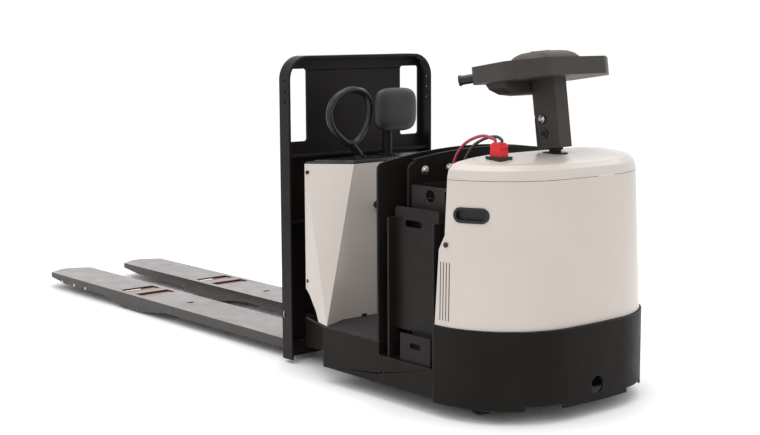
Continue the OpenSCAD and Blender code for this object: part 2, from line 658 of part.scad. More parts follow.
// Power knob on the tower's front, drawn pulled out
knob_y = -137;
knob_z = 660;
knob_r = 19;
knob_pull = 10;
stem_r = 6;
module power_knob() color(rubber_black) truck() {
    face = tower_x - 8;
    rod_x(face + knob_pull + 3, face + knob_pull + 20, knob_y, knob_z, knob_r);
    rod_x(tower_x - knob_bar - 14, face + knob_pull + 3, knob_y, knob_z, stem_r);
}
module brake_pedal() color(rubber_black) truck() {
    block(pedal_x - pedal_len / 2, pedal_x + pedal_len / 2, pedal_y - pedal_w / 2, pedal_y + pedal_w / 2,
          step_h - 2, step_h + 12);
    block(pedal_x - stem_w, pedal_x + stem_w, pedal_y - stem_w, pedal_y + stem_w, floor_z - 66, step_h - 2);
}

// ---- Backrest, carriage and forks ----
back_top = back_h - back_r;
window_y0 = 250;
window_y1 = 352;
window_z0 = 902;
window_z1 = 1195;
back_foot = 16;
shelf_z = fork_top + 6;

// (y, z) outline of the backrest, drawn in by inset
module back_outline(inset) {
    hw = back_w / 2 - inset;
    r = back_r - inset;
    translate([-hw, back_foot]) square([2 * hw, back_top - back_foot]);
    translate([-back_w / 2 + back_r, back_foot]) square([back_w - 2 * back_r, back_h - inset - back_foot]);
    for (s = [-1, 1]) translate([s * (back_w / 2 - back_r), back_top]) circle(r);
}
module backrest() color(steel_dark) truck() difference() {
    union() {
        along_x(back_x, back_t) back_outline(0);
        along_x(back_x, back_d) difference() { back_outline(0); back_outline(back_t); }
        // Cross ribs on the truck side
        for (z = [576, 844]) block(back_x + back_t, back_x + 46, -back_w / 2 + back_t, back_w / 2 - back_t, z - 5, z + 5);
    }
    both_sides() along_x(back_x - 1, back_t + 2)
        translate([(window_y0 + window_y1) / 2, (window_z0 + window_z1) / 2])
            round_rect(window_y1 - window_y0, window_z1 - window_z0, 12);
    // Three accessory holes through each side flange
    for (i = [0 : 2]) rod_y(-half_w, half_w, back_x + 38, 1150 - 44 * i, 5.5);
    // Clearance for the forks' cross member
    along_x(back_x - 1, back_t + 2) translate([-back_w / 2 + back_t, 0]) square([back_w - 2 * back_t, 22]);
}
cyl_x = guide_x0;
cyl_r = 30;
rod_r = 16;
cyl_top = 420;
module carriage_base() color(steel_dark) truck() {
    // Cross member between the fork heels, with two guide shoes on a frame
    block(back_x + back_t, back_x + 34, -back_w / 2 + back_t + 1, back_w / 2 - back_t - 1, 24, shelf_z);
    both_sides() {
        block(back_x + back_t, guide_x0 + 40, guide_y - 6, guide_y + 6, 200, 400);
        for (z = [200, 340]) block(guide_x0 + 6, guide_x1 - guide_t - slide_gap,
            guide_y - guide_w + guide_t + slide_gap, guide_y + guide_w - guide_t - slide_gap, z, z + 60);
    }
    // Bracket over the lift rod
    block(back_x + back_t, cyl_x + 24, -40, 40, cyl_top + 42, cyl_top + 58);
}
module lift_cylinder() color(bare_steel) truck() difference() {
    union() {
        rod_z(tail_z + tail_t, cyl_top, cyl_x, 0, cyl_r);
        block(cyl_x, cyl_x + 60, -36, 36, tail_z + tail_t, tail_z + tail_t + 12);
    }
    rod_z(tail_z + 30, cyl_top + 1, cyl_x, 0, rod_r + fit);
}
module lift_rod() color(bare_steel) truck() rod_z(cyl_top - lift - 140, cyl_top + 42, cyl_x, 0, rod_r);

fork_y = fork_span / 2 - fork_w / 2;
load_mid = tip_x + load_x;
arm_x = load_mid + arm_len;
arm_z = fork_top - 20;
pin_r = 8;
belly_z = 9;
slot_len = 74;
slot_w = load_w + 12;
lever = 20;
rod_pin_r = 4;
pull_r = 6;

// Fork drawn about y = 0
module fork() difference() {
    union() {
        // Top plate with its tapered nose
        translate([0, 0, fork_top - fork_t]) linear_extrude(fork_t) fork_plan(0);
        // Side walls with the deeper belly around the load wheels
        both_sides() along_y(fork_w / 2 - fork_t, fork_t) fork_side();
        // Nose wall
        translate([0, 0, fork_top - 26]) linear_extrude(26) difference() {
            fork_plan(0);
            fork_plan(8);
            translate([tip_x + 90, -fork_w]) square([fork_len, 2 * fork_w]);
        }
        // Heel block on the backrest
        block(back_x - 14, back_x, -fork_w / 2, fork_w / 2, 22, fork_top - fork_t);
        block(back_x - 70, back_x - 56, -fork_w / 2 + 1, fork_w / 2 - 1, arm_z - lever - 10, fork_top - fork_t);
        rod_y(-fork_w / 2 + 1, fork_w / 2 - 1, arm_x, arm_z, pin_r);
    }
    for (s = [-1, 1]) block(load_mid + s * load_pitch / 2 - slot_len / 2, load_mid + s * load_pitch / 2 + slot_len / 2,
                            -slot_w / 2, slot_w / 2, fork_top - fork_t - 1, fork_top + 1);
    block(arm_x + 40, arm_x + 62, -17, 17, fork_top - fork_t - 1, fork_top + 1);
    // Guide bore for the pull rod
    rod_x(back_x - 71, back_x - 55, 0, arm_z - lever, pull_r + fit);
}
module fork_plan(inset) {
    hw = fork_w / 2 - inset;
    polygon([[back_x, -hw], [back_x, hw], [tip_x + 57, hw], [tip_x + 12 + inset, 46],
             [tip_x + inset, 26], [tip_x + inset, -26], [tip_x + 12 + inset, -46], [tip_x + 57, -hw]]);
}
module fork_side() polygon([
    [back_x, fork_top - fork_d], [back_x, fork_top - 1], [tip_x + 62, fork_top - 1],
    [tip_x + 62, fork_top - 26], [tip_x + 210, fork_top - fork_d], [load_mid - 230, fork_top - fork_d],
    [load_mid - 60, belly_z], [load_mid + 110, belly_z], [arm_x + 30, fork_top - fork_d]]);
module right_fork() color(steel_grey) truck() translate([0, -fork_y, 0]) fork();
module left_fork() color(steel_grey) truck() translate([0, fork_y, 0]) fork();

arm_t = 8;
arm_y = fork_w / 2 - fork_t - 1.5 - arm_t;
// Arm, bogie and wheels are drawn about y = 0
module wheel_arm() difference() {
    union() {
        both_sides() along_y(arm_y, arm_t) {
            translate([arm_x, arm_z]) circle(11);
            translate([load_mid, load_r]) circle(11);
            polygon([[arm_x, arm_z + 11], [load_mid, load_r + 11], [load_mid, load_r - 11], [arm_x, arm_z - 11]]);
        }
        // Cross tube round the fork's pin, with the pull rod's lever below
        rod_y(-arm_y, arm_y, arm_x, arm_z, 11);
        both_sides() along_y(8, 6) {
            translate([arm_x, arm_z - lever]) circle(9);
            translate([arm_x - 9, arm_z - lever]) square([18, lever]);
        }
        rod_y(-9, 9, arm_x, arm_z - lever, rod_pin_r);
        block(load_mid + load_pitch / 2 + load_r + 12, load_mid + load_pitch / 2 + load_r + 26, -arm_y, arm_y, 32, 46);
    }
    rod_y(-fork_w, fork_w, arm_x, arm_z, pin_r + fit);
    rod_y(-fork_w, fork_w, load_mid, load_r, axle_r + fit);
}
axle_r = 7;
bogie_t = 6;
bogie_y = arm_y - 1 - bogie_t;
module bogie() {
    both_sides() along_y(bogie_y, bogie_t) slot_2d_at(load_mid, load_r, load_pitch + 22, 11);
    rod_y(-arm_y - arm_t + 1, arm_y + arm_t - 1, load_mid, load_r, axle_r);
    for (s = [-1, 1]) rod_y(-bogie_y, bogie_y, load_mid + s * load_pitch / 2, load_r, axle_r);
}
module slot_2d_at(x, z, len, r) translate([x, z]) slot_2d(len, r);
module load_wheel(s) difference() {
    rod_y(-load_w / 2 + 2, load_w / 2 - 2, load_mid + s * load_pitch / 2, load_r, load_r);
    rod_y(-load_w, load_w, load_mid + s * load_pitch / 2, load_r, axle_r + fit);
}
module pull_rod() {
    difference() {
        union() {
            rod_x(arm_x, back_x - 34, 0, arm_z - lever, pull_r);
            rod_y(-6, 6, arm_x, arm_z - lever, 8.5);
        }
        rod_y(-7, 7, arm_x, arm_z - lever, rod_pin_r + 2.6);
    }
}
module at_right() truck() translate([0, -fork_y, 0]) children();
module at_left() truck() translate([0, fork_y, 0]) children();
module right_wheel_arm() color(steel_dark) at_right() wheel_arm();
module left_wheel_arm() color(steel_dark) at_left() wheel_arm();
module right_bogie() color(steel_dark) at_right() bogie();
module left_bogie() color(steel_dark) at_left() bogie();
module right_pull_rod() color(bare_steel) at_right() pull_rod();
module left_pull_rod() color(bare_steel) at_left() pull_rod();
module right_front_load_wheel() color([0.45, 0.20, 0.12]) at_right() load_wheel(-1);
module right_rear_load_wheel() color([0.45, 0.20, 0.12]) at_right() load_wheel(1);
module left_front_load_wheel() color([0.45, 0.20, 0.12]) at_left() load_wheel(-1);
module left_rear_load_wheel() color([0.45, 0.20, 0.12]) at_left() load_wheel(1);

// ---- Drive unit and casters ----
ring_r_out = 130;
wheel_axle_r = 15;
motor_r = 76;
motor_h = 190;
caster_pin_r = 12;
trail = 34;
module slew_ring() color(bare_steel) truck() difference() {
    rod_z(deck_z - 20, deck_z, steer_x, 0, ring_r_out);
    rod_z(deck_z - 21, deck_z + 1, steer_x, 0, ring_r_out - 22);
}
module drive_frame() color(steel_grey) truck() {
    // Turning plate inside the ring, side arm and wheel axle
    rod_z(deck_z - 34, deck_z - 4, steer_x, 0, ring_r_out - 22 - fit);
    block(steer_x - 50, steer_x + 50, drive_w / 2 + 8, drive_w / 2 + 40, drive_r - 10, deck_z - 34);
    rod_y(drive_w / 2 + 8, drive_w / 2 + 40, steer_x, drive_r, 50);
    rod_y(-drive_w / 2 + 6, drive_w / 2 + 8, steer_x, drive_r, wheel_axle_r);
}
module drive_motor() color(steel_dark) truck() {
    rod_z(deck_z - 4, deck_z + motor_h, steer_x, 0, motor_r);
    for (i = [0 : 5]) rod_z(deck_z + 20 + i * 22, deck_z + 28 + i * 22, steer_x, 0, motor_r + 6);
}
module drive_wheel() color(rubber_black) truck() difference() {
    rod_y(-drive_w / 2, drive_w / 2, steer_x, drive_r, drive_r);
    rod_y(-drive_w, drive_w, steer_x, drive_r, wheel_axle_r + fit);
    rod_y(-drive_w / 2 - 1, -drive_w / 2 + 22, steer_x, drive_r, drive_r - 34);
}
// Casters are drawn about their swivel axis, trailing towards the forks
module caster_fork() {
    rod_z(caster_top - 12, caster_top + 26, 0, 0, caster_pin_r);
    rod_z(caster_top - 12, caster_top - seat_gap, 0, 0, 34);
    for (s = [-1, 1]) translate([0, s * (caster_w / 2 + 6) - 3, 0]) along_y(0, 6)
        polygon([[-26, caster_top - 12], [26, caster_top - 12], [-trail + 12, caster_r - 12], [-trail - 12, caster_r - 12]]);
    block(-26, 26, -caster_w / 2 - 9, caster_w / 2 + 9, caster_top - 16, caster_top - 12);
    rod_y(-caster_w / 2 - 9, caster_w / 2 + 9, -trail, caster_r, 6);
}
module caster_wheel() difference() {
    rod_y(-caster_w / 2, caster_w / 2, -trail, caster_r, caster_r);
    rod_y(-caster_w, caster_w, -trail, caster_r, 6 + fit);
}
module at_caster(s) truck() translate([caster_x, s * caster_y, 0]) children();
module right_caster_fork() color(bare_steel) at_caster(-1) caster_fork();
module left_caster_fork() color(bare_steel) at_caster(1) caster_fork();
module right_caster_wheel() color(rubber_black) at_caster(-1) caster_wheel();
module left_caster_wheel() color(rubber_black) at_caster(1) caster_wheel();

// ---- Steering handle ----
neck_r = 45;
neck_core = 22;
neck_z = lid_top + crown_h + 1;
yoke_z = neck_z + 10;
pivot_x = 117;
tilt_r = 9;
column_front = 71;
column_bottom = -55;
plate_t = 5;

// Moves a drawing from the column's own axes, with the tilt pin as origin
module tilted() truck() translate([pivot_x, 0, pivot_z]) rotate([0, -column_lean, 0]) children();
module steering_shaft() color(steel_dark) {
    truck() {
        rod_z(deck_z + motor_h, yoke_z + 8, steer_x, 0, neck_core);
        rod_z(lid_top - 20, neck_z, steer_x, 0, neck_r);
        block(pivot_x - 18, steer_x + 22, -18, 18, yoke_z, yoke_z + 10);
        block(pivot_x - 18, pivot_x + 18, -8, 8, yoke_z + 8, pivot_z);
        rod_y(-8, 8, pivot_x, pivot_z, 18);
        rod_y(-column_w / 2 - 8, column_w / 2 + 8, pivot_x, pivot_z, tilt_r);
    }
}
// Cut-out of the column's side plates round the tilt pin, as (x, z) points
column_cut = [[-41, 66], [4, 74], [32, -38], [18, -54], [-26, -54]];
module column() color(moulding) tilted() difference() {
    back = column_front - column_d;
    hw = column_w / 2;
    union() {
        // Sheet-metal box, open at the bottom
        difference() {
            block(back, column_front, -hw, hw, column_bottom, head_rise - seat_gap);
            block(back + plate_t, column_front - plate_t, -hw + plate_t, hw - plate_t,
                  column_bottom - 1, head_rise - 10);
            both_sides() along_y(hw - 2, 3) polygon(column_cut);
        }
        both_sides() rod_y(hw - 4, hw + 4, 0, 0, 16);
        both_sides() rod_y(hw - 4, hw + 5, -2, 52, 9);
    }
    rod_y(-half_w, half_w, 0, 0, tilt_r + fit);
}
head_front = 163;
head_back = -152;
head_r = 46;
floor_rise = 6;
// (x, y) outline of the head; the operator stands on the -x side
module head_outline(inset) hull() {
    r = head_r - inset;
    for (s = [-1, 1]) {
        translate([head_front - head_r, s * head_w * 0.5]) circle(r);
        translate([head_front - 112, s * (head_w - head_r)]) circle(r);
        translate([head_back + 62, s * (head_w - 56)]) circle(r);
    }
    translate([head_back + 40, 0]) circle(r * 0.8);
}
// Bowl that hangs under the operator's half of the head
module head_bowl(inset) hull() {
    for (a = [0 : 30 : 90]) translate([-98 + 10 * sin(a), 0, head_rise + floor_rise - 52 * sin(a) + inset])
        linear_extrude(1) round_rect(98 - 34 * (1 - cos(a)) - 2 * inset, 350 - 190 * (1 - cos(a)) - 2 * inset,
                                     28 - inset);
}
module head_guard() color(moulding) tilted() difference() {
    union() {
        translate([0, 0, head_rise]) linear_extrude(band_h) head_outline(0);
        head_bowl(0);
    }
    translate([0, 0, head_rise + floor_rise]) linear_extrude(band_h) head_outline(6);
    head_bowl(5);
    for (s = [-1, 1]) grip_line(s) cylinder(r = grip_r + 12, h = grip_len + 40);
    // Clearance round the column
    block(column_front - column_d - 1, column_front + 1, -column_w / 2 - 1, column_w / 2 + 1, 0, head_rise);
}
pod_x = 6;
pod_h = 92;
module head_pod() color(moulding) tilted() difference() {
    translate([pod_x, 0, head_rise + floor_rise + seat_gap]) hull() {
        linear_extrude(20) round_rect(196, 290, 70);
        for (a = [18 : 18 : 90]) let (k = 0.42 + 0.58 * cos(a))
            translate([0, 0, 24 + (pod_h - 26) * sin(a)]) linear_extrude(2) round_rect(196 * k, 290 * k, 70 * k);
    }
    for (b = buttons) translate([b.x, b.y, pod_top - 20]) cylinder(r = b.z + seat_gap, h = 30);
    for (s = [-1, 1]) grip_line(s) translate([0, 0, -28]) cylinder(r = grip_r + seat_gap, h = 96);
}
grip_in = [-46, 118, 34];
grip_out = [-206, 226, 24];
// Puts a drawing's +Z along the grip, from its inner to its outer end
module grip_line(s) {
    a = [grip_in.x, s * grip_in.y, head_rise + grip_in.z];
    d = [grip_out.x - grip_in.x, s * (grip_out.y - grip_in.y), grip_out.z - grip_in.z];
    translate(a) rotate([0, acos(d.z / norm(d)), atan2(d.y, d.x)]) children();
}
grip_len = norm(grip_out - grip_in);
module grip(s) grip_line(s) {
    translate([0, 0, -12]) cylinder(r = grip_r, h = grip_len + 4);
    translate([0, 0, grip_len - 8]) cylinder(r = grip_r + 3, h = 8);
}
module right_grip() color(rubber_black) tilted() grip(-1);
module left_grip() color(rubber_black) tilted() grip(1);
pod_top = head_rise + floor_rise + seat_gap + pod_h;
button_h = 16;
button_up = 3;
// Each button as [x, y, radius]: horn, lift, lower
buttons = [[16, 0, 14], [-12, -36, 9], [-12, 36, 9]];
module button(i) translate([buttons[i].x, buttons[i].y, pod_top + button_up - button_h])
    cylinder(r = buttons[i].z, h = button_h);
module horn_button() color(rubber_black) tilted() button(0);
module lift_button() color(rubber_black) tilted() button(1);
module lower_button() color(rubber_black) tilted() button(2);

chassis();
drive_skirt();
floor_mat();
bay_wall();
battery_stop();
battery();
bulkhead();
hood_body();
hood_lid();
cover_screws();
latch_bezels();
connector_base();
connector();
cable_positive();
cable_negative();
tower_frame();
tower_panel();
tower_cover();
hydraulic_unit();
lift_cylinder();
grab_bar();
pad_post();
back_pad();
slew_ring();
battery_gates();
brake_pedal();
power_knob();
right_battery_panel();
left_battery_panel();
backrest();
carriage_base();
right_fork();
left_fork();
lift_rod();
right_pull_rod();
left_pull_rod();
right_wheel_arm();
left_wheel_arm();
right_bogie();
left_bogie();
right_front_load_wheel();
right_rear_load_wheel();
left_front_load_wheel();
left_rear_load_wheel();
drive_frame();
drive_motor();
drive_wheel();
right_caster_fork();
left_caster_fork();
right_caster_wheel();
left_caster_wheel();
steering_shaft();
column();
head_guard();
head_pod();
right_grip();
left_grip();
horn_button();
lift_button();
lower_button();
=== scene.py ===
import json
import math

import bmesh
import bpy
from mathutils import Matrix, Vector


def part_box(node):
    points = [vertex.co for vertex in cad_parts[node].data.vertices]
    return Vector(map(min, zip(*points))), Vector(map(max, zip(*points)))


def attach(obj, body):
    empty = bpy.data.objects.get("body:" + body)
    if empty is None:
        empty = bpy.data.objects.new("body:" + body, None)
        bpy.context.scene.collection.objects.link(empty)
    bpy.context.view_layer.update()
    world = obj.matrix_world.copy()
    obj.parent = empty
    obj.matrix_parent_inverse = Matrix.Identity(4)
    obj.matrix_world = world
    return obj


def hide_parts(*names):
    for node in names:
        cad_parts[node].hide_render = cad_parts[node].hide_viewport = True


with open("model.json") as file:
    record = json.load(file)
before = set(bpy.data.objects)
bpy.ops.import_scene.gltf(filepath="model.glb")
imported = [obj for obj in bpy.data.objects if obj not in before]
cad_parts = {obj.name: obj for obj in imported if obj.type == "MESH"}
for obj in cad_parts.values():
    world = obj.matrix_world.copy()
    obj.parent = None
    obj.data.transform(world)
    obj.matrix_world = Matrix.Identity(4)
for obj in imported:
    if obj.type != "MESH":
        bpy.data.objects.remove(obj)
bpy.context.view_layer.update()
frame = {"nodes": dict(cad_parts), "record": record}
nodes = frame["nodes"]
print("frame loaded:", len(nodes), "parts")

# Lengths run from the battery bay's front plane, where the hood starts
driveLength = 0.360
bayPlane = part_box("drive_skirt")[1].x - driveLength


def at(x, y, z):
    return Vector((bayPlane + x, y, z))


# Camera, floor and light
cameraSetup = {
    "place": (4.9875, -3.668, 1.369),
    "turn": 50.167,
    "down": 7.846,
    "roll": -0.264,
    "lens": 66.18,
}


def makeCamera(setup):
    data = bpy.data.cameras.new("camera")
    data.lens = setup["lens"]
    data.sensor_width = 36
    data.clip_end = 200
    camera = bpy.data.objects.new("camera", data)
    bpy.context.scene.collection.objects.link(camera)
    turn, down = math.radians(setup["turn"]), math.radians(setup["down"])
    back = Vector((math.sin(turn) * math.cos(down), -math.cos(turn) * math.cos(down), math.sin(down)))
    aim = (-back).to_track_quat("-Z", "Y").to_matrix().to_4x4()
    roll = Matrix.Rotation(math.radians(setup["roll"]), 4, "Z")
    camera.matrix_world = Matrix.Translation(setup["place"]) @ aim @ roll
    bpy.context.scene.camera = camera


# Each lamp has its place, the spot that it aims at, its size and its power
lamps = {
    "keyLight": {"place": (3.5, -4.5, 5.0), "aim": (0.8, 0, 0.5), "size": (3.0, 2.0), "power": 35},
    "fillLight": {"place": (-1.5, -5.0, 3.2), "aim": (0.2, 0, 0.5), "size": (3.0, 3.0), "power": 8},
    "topLight": {"place": (0.9, -0.3, 4.2), "aim": (0.9, 0, 0), "size": (3.0, 2.4), "power": 75},
    "rimLight": {"place": (0.5, 4.0, 4.0), "aim": (0.8, 0, 0.6), "size": (4.0, 1.5), "power": 40},
}
studio = {
    "worldLight": 1.12,
    "floorColor": (0.93, 0.93, 0.925, 1),
    "floorRough": 0.7,
    "floorReach": 90,
    "floorSteps": 96,
}


def softBox(name, look):
    data = bpy.data.lights.new(name, "AREA")
    data.shape = "RECTANGLE"
    data.size, data.size_y = look["size"]
    data.energy = look["power"]
    lamp = bpy.data.objects.new(name, data)
    lamp.location = look["place"]
    lamp.rotation_euler = (Vector(look["aim"]) - Vector(look["place"])).to_track_quat("-Z", "Y").to_euler()
    bpy.context.scene.collection.objects.link(lamp)


def makeStudio(setup):
    world = bpy.data.worlds.new("paleRoom")
    world.use_nodes = True
    background = world.node_tree.nodes["Background"]
    background.inputs["Color"].default_value = (1, 1, 1, 1)
    background.inputs["Strength"].default_value = setup["worldLight"]
    bpy.context.scene.world = world
    for name, look in lamps.items():
        softBox(name, look)
    # Round floor
    mesh = bpy.data.meshes.new("floor")
    steps, reach = setup["floorSteps"], setup["floorReach"]
    turns = [2 * math.pi * i / steps for i in range(steps)]
    mesh.from_pydata([(reach * math.cos(t), reach * math.sin(t), 0) for t in turns], [], [list(range(steps))])
    floor = bpy.data.objects.new("floor", mesh)
    bpy.context.scene.collection.objects.link(floor)
    finish = bpy.data.materials.new("paleFloor")
    finish.use_nodes = True
    shader = finish.node_tree.nodes["Principled BSDF"]
    shader.inputs["Base Color"].default_value = setup["floorColor"]
    shader.inputs["Roughness"].default_value = setup["floorRough"]
    mesh.materials.append(finish)


makeCamera(cameraSetup)
makeStudio(studio)
bpy.context.scene.view_settings.view_transform = "Standard"
print("camera and studio made")


# Finishes
class Finish:
    # Small helper that adds nodes to one material and links them
    def __init__(self, name):
        self.material = bpy.data.materials.new(name)
        self.material.use_nodes = True
        self.tree = self.material.node_tree
        self.shader = self.tree.nodes["Principled BSDF"]
        self.place = self.tree.nodes.new("ShaderNodeTexCoord").outputs["Object"]

    def node(self, kind, **settings):
        made = self.tree.nodes.new("ShaderNode" + kind)
        for key, value in settings.items():
            setattr(made, key, value)
        return made

    def link(self, source, target):
        self.tree.links.new(source, target)

    def noise(self, scale, detail=4, rough=0.55, stretch=None):
        made = self.node("TexNoise")
        made.inputs["Scale"].default_value = scale
        made.inputs["Detail"].default_value = detail
        made.inputs["Roughness"].default_value = rough
        place = self.place
        if stretch:
            mapping = self.node("Mapping")
            mapping.inputs["Scale"].default_value = stretch
            self.link(place, mapping.inputs["Vector"])
            place = mapping.outputs["Vector"]
        self.link(place, made.inputs["Vector"])
        return made.outputs["Fac"]

    def spread(self, value, low, high, toLow=0.0, toHigh=1.0):
        made = self.node("MapRange")
        made.inputs["From Min"].default_value = low
        made.inputs["From Max"].default_value = high
        made.inputs["To Min"].default_value = toLow
        made.inputs["To Max"].default_value = toHigh
        self.link(value, made.inputs["Value"])
        return made.outputs["Result"]

    def mix(self, factor, first, second):
        made = self.node("Mix", data_type="RGBA")
        for socket, value in (("A", first), ("B", second)):
            target = [s for s in made.inputs if s.name == socket and s.type == "RGBA"][0]
            if isinstance(value, tuple):
                target.default_value = (*value, 1)
            else:
                self.link(value, target)
        self.link(factor, made.inputs["Factor"])
        return [s for s in made.outputs if s.type == "RGBA"][0]

    def times(self, first, second):
        made = self.node("Math", operation="MULTIPLY")
        self.link(first, made.inputs[0])
        if isinstance(second, (int, float)):
            made.inputs[1].default_value = second
        else:
            self.link(second, made.inputs[1])
        return made.outputs[0]

    def edges(self, width, low=0.01, high=0.12):
        # 1 on sharp outer and inner edges, 0 on flat stretches
        bevel = self.node("Bevel", samples=4)
        bevel.inputs["Radius"].default_value = width
        geometry = self.node("NewGeometry")
        dot = self.node("VectorMath", operation="DOT_PRODUCT")
        self.link(bevel.outputs["Normal"], dot.inputs[0])
        self.link(geometry.outputs["Normal"], dot.inputs[1])
        return self.spread(dot.outputs["Value"], 1 - low, 1 - high)

    def bump(self, height, strength, distance):
        made = self.node("Bump")
        made.inputs["Strength"].default_value = strength
        made.inputs["Distance"].default_value = distance
        self.link(height, made.inputs["Height"])
        self.link(made.outputs["Normal"], self.shader.inputs["Normal"])


def paintFinish(name, look):
    # Clouded colour, specks, a painted top sheen (faces that look up lighter than the sides), worn edges,
    # uneven roughness and a grain
    made = Finish(name)
    shader = made.shader
    cloud = made.noise(look.get("cloudScale", 3.0), 5)
    color = made.mix(made.spread(cloud, 0.35, 0.65), look["color"], look["second"])
    speck = made.noise(look.get("speckScale", 240), 3)
    if "speckColor" in look:
        amount = made.spread(speck, 0.66, 0.74, 0, look.get("speckAmount", 0.4))
        color = made.mix(amount, color, look["speckColor"])
    # Painted sheen: faces that look up keep the lighter main colour, which stands for the white room's
    # reflection on the tops together with real wear. Sides get the darker side colour.
    if "sideColorBelowPaintedTopSheen" in look:
        up = made.node("SeparateXYZ")
        made.link(made.node("NewGeometry").outputs["Normal"], up.inputs[0])
        color = made.mix(made.spread(up.outputs["Z"], 0.5, 0.8), look["sideColorBelowPaintedTopSheen"], color)
    if "wearColor" in look:
        patch = made.spread(made.noise(28, 6, 0.7), 0.42, 0.62, look.get("wearLeast", 0.1), 1)
        worn = made.times(made.edges(look["wearWidth"]), patch)
        color = made.mix(made.times(worn, look["wearAmount"]), color, look["wearColor"])
    made.link(color, shader.inputs["Base Color"])
    rough = look["rough"]
    made.link(made.spread(made.noise(look.get("roughScale", 14), 5), 0.3, 0.7, rough - look["roughSpread"],
                          rough + look["roughSpread"]), shader.inputs["Roughness"])
    shader.inputs["Metallic"].default_value = look.get("metal", 0.0)
    shader.inputs["Coat Weight"].default_value = look.get("coat", 0.0)
    shader.inputs["Coat Roughness"].default_value = look.get("coatRough", 0.1)
    shader.inputs["IOR"].default_value = look.get("ior", 1.5)
    shader.inputs["Specular IOR Level"].default_value = look.get("gleam", 0.5)
    grain = made.noise(look["grainScale"], 3)
    if "ribs" in look:
        wave = made.node("TexWave", bands_direction="X")
        wave.inputs["Scale"].default_value = look["ribs"]
        made.link(made.place, wave.inputs["Vector"])
        # Ribs stand above the grain
        ribbed = made.node("Math", operation="MULTIPLY_ADD")
        made.link(wave.outputs["Fac"], ribbed.inputs[0])
        ribbed.inputs[1].default_value = look["ribHeight"]
        made.link(grain, ribbed.inputs[2])
        grain = ribbed.outputs[0]
    made.bump(grain, look["grain"], look.get("grainDepth", 0.0004))
    return made.material


finishLooks = {
    "frame_paint": {"color": (0.0062, 0.0050, 0.0044), "second": (0.0095, 0.0078, 0.0068), "rough": 0.46,
                    "roughSpread": 0.06, "grain": 0.25, "grainScale": 420, "wearColor": (0.30, 0.25, 0.21),
                    "wearWidth": 0.0022, "wearAmount": 0.75, "gleam": 0.1, "speckColor": (0.03, 0.026, 0.022)},
    "plate_paint": {"color": (0.0075, 0.0062, 0.0056), "second": (0.0115, 0.0096, 0.0088), "rough": 0.42,
                    "roughSpread": 0.06, "grain": 0.2, "grainScale": 420, "wearColor": (0.20, 0.17, 0.145),
                    "wearWidth": 0.0016, "wearAmount": 0.5, "gleam": 0.13, "speckColor": (0.02, 0.017, 0.015)},
    # The fork's light grey main colour is painted reflection of the white room on the tops, partly real wear;
    # the side colour keeps the sides near black
    "fork_paint": {"color": (0.15, 0.135, 0.132), "second": (0.21, 0.19, 0.186), "rough": 0.30,
                   "roughSpread": 0.07, "grain": 0.2, "grainScale": 300, "wearColor": (0.5, 0.47, 0.45),
                   "wearWidth": 0.002, "wearAmount": 0.5, "gleam": 0.4, "sideColorBelowPaintedTopSheen": (0.020, 0.015, 0.013),
                   "speckColor": (0.07, 0.055, 0.05)},
    "hood_white": {"color": (0.475, 0.425, 0.392), "second": (0.505, 0.455, 0.42), "rough": 0.34,
                   "roughSpread": 0.04, "grain": 0.12, "grainScale": 160, "coat": 0.25, "coatRough": 0.16,
                   "speckColor": (0.40, 0.36, 0.33), "speckAmount": 0.15, "gleam": 0.4},
    "mat_rubber": {"color": (0.016, 0.014, 0.014), "second": (0.024, 0.021, 0.021), "rough": 0.78,
                   "roughSpread": 0.06, "grain": 0.6, "grainScale": 900, "gleam": 0.3, "ribs": 60.0,
                   "ribHeight": 2.5},
    "trim_black": {"color": (0.007, 0.007, 0.007), "second": (0.011, 0.011, 0.011), "rough": 0.30,
                   "roughSpread": 0.06, "grain": 0.25, "grainScale": 700, "gleam": 0.35},
    "moulding": {"color": (0.028, 0.022, 0.0195), "second": (0.036, 0.029, 0.0255), "rough": 0.52,
                 "roughSpread": 0.05, "grain": 0.35, "grainScale": 900, "gleam": 0.3,
                 "speckColor": (0.06, 0.05, 0.045), "speckAmount": 0.2},
    "connector_red": {"color": (0.55, 0.008, 0.014), "second": (0.64, 0.014, 0.022), "rough": 0.36,
                      "roughSpread": 0.05, "grain": 0.2, "grainScale": 500, "gleam": 0.35},
    "cable_crimson": {"color": (0.27, 0.012, 0.045), "second": (0.36, 0.02, 0.06), "rough": 0.40,
                      "roughSpread": 0.06, "grain": 0.2, "grainScale": 700},
    "cable_grey": {"color": (0.028, 0.020, 0.022), "second": (0.042, 0.031, 0.033), "rough": 0.42,
                   "roughSpread": 0.06, "grain": 0.2, "grainScale": 700},
    "bare_steel": {"color": (0.42, 0.41, 0.40), "second": (0.52, 0.51, 0.49), "rough": 0.32,
                   "roughSpread": 0.08, "grain": 0.2, "grainScale": 300, "metal": 1.0},
    "pad_vinyl": {"color": (0.013, 0.0115, 0.0115), "second": (0.022, 0.0195, 0.0195), "rough": 0.42,
                  "roughSpread": 0.08, "grain": 0.55, "grainScale": 300, "gleam": 0.4},
    "battery_case": {"color": (0.010, 0.008, 0.0075), "second": (0.016, 0.013, 0.012), "rough": 0.5,
                     "roughSpread": 0.08, "grain": 0.3, "grainScale": 260, "wearColor": (0.2, 0.16, 0.14),
                     "wearWidth": 0.0015, "wearAmount": 0.5, "gleam": 0.25},
    "load_poly": {"color": (0.24, 0.075, 0.040), "second": (0.32, 0.11, 0.06), "rough": 0.45,
                  "roughSpread": 0.06, "grain": 0.2, "grainScale": 300},
    "tyre_black": {"color": (0.012, 0.012, 0.012), "second": (0.020, 0.019, 0.019), "rough": 0.7,
                   "roughSpread": 0.06, "grain": 0.5, "grainScale": 500, "gleam": 0.25},
    "bronze": {"color": (0.42, 0.20, 0.09), "second": (0.30, 0.13, 0.06), "rough": 0.36,
               "roughSpread": 0.08, "grain": 0.3, "grainScale": 300, "metal": 0.9},
}
finishes = {name: paintFinish(name, look) for name, look in finishLooks.items()}
slotOf = {row["node"]: row["material_slot"] for row in frame["record"]["subparts"]}
print("finishes made:", len(finishes))


